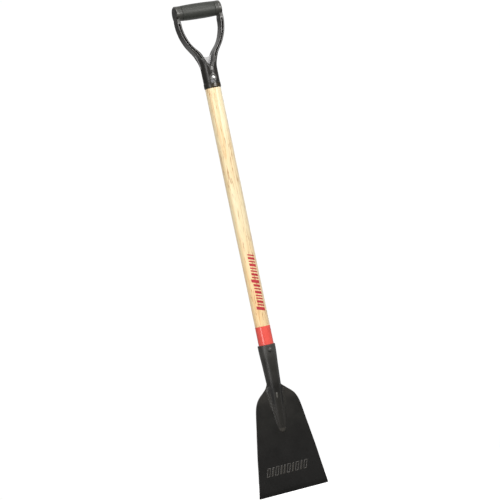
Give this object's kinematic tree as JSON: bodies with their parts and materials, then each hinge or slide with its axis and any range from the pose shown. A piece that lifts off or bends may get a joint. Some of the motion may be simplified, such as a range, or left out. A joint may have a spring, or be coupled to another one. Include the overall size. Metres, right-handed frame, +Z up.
{
  "type": "roofing shovel",
  "caption": "Long straight-handled shovel with a flat tapered steel blade, riveted socket, wooden shaft and a D-grip, for lifting old roof covering.",
  "frame": {"origin": "middle of the crossbar's underside, where the hook that the tool hangs on bears; on the shaft's axis", "axes": "+Z up the shaft, -Y the front, where the shank lies on the blade, +X to the right seen from the front"},
  "size_m": [0.1806, 0.0497, 1.1914],
  "materials": {
    "black_enamel": "satin black enamel on steel",
    "lacquered_ash": "clear lacquered ash, long straight grain",
    "red_enamel": "glossy red enamel",
    "black_polymer": "moulded black polymer, semi-gloss",
    "grip_polymer": "satin grey-black polymer",
    "core_wood": "plain turned wood",
    "plated_steel": "bright plated steel"
  },
  "bodies": {
    "root": {"blade_plate": "black_enamel", "socket_shank": "black_enamel", "weld_left": "black_enamel", "weld_right": "black_enamel", "weld_back": "black_enamel", "socket_rivet": "black_enamel", "socket_rivet_burr": "black_enamel", "shaft": "lacquered_ash", "red_band": "red_enamel", "yoke": "black_polymer", "ferrule_rivet": "plated_steel", "ferrule_rivet_burr": "plated_steel", "grip_sleeve": "grip_polymer", "grip_core": "core_wood", "grip_rod": "plated_steel", "grip_cap_left": "black_polymer", "grip_cap_right": "black_polymer"}
  },
  "joints": []
}
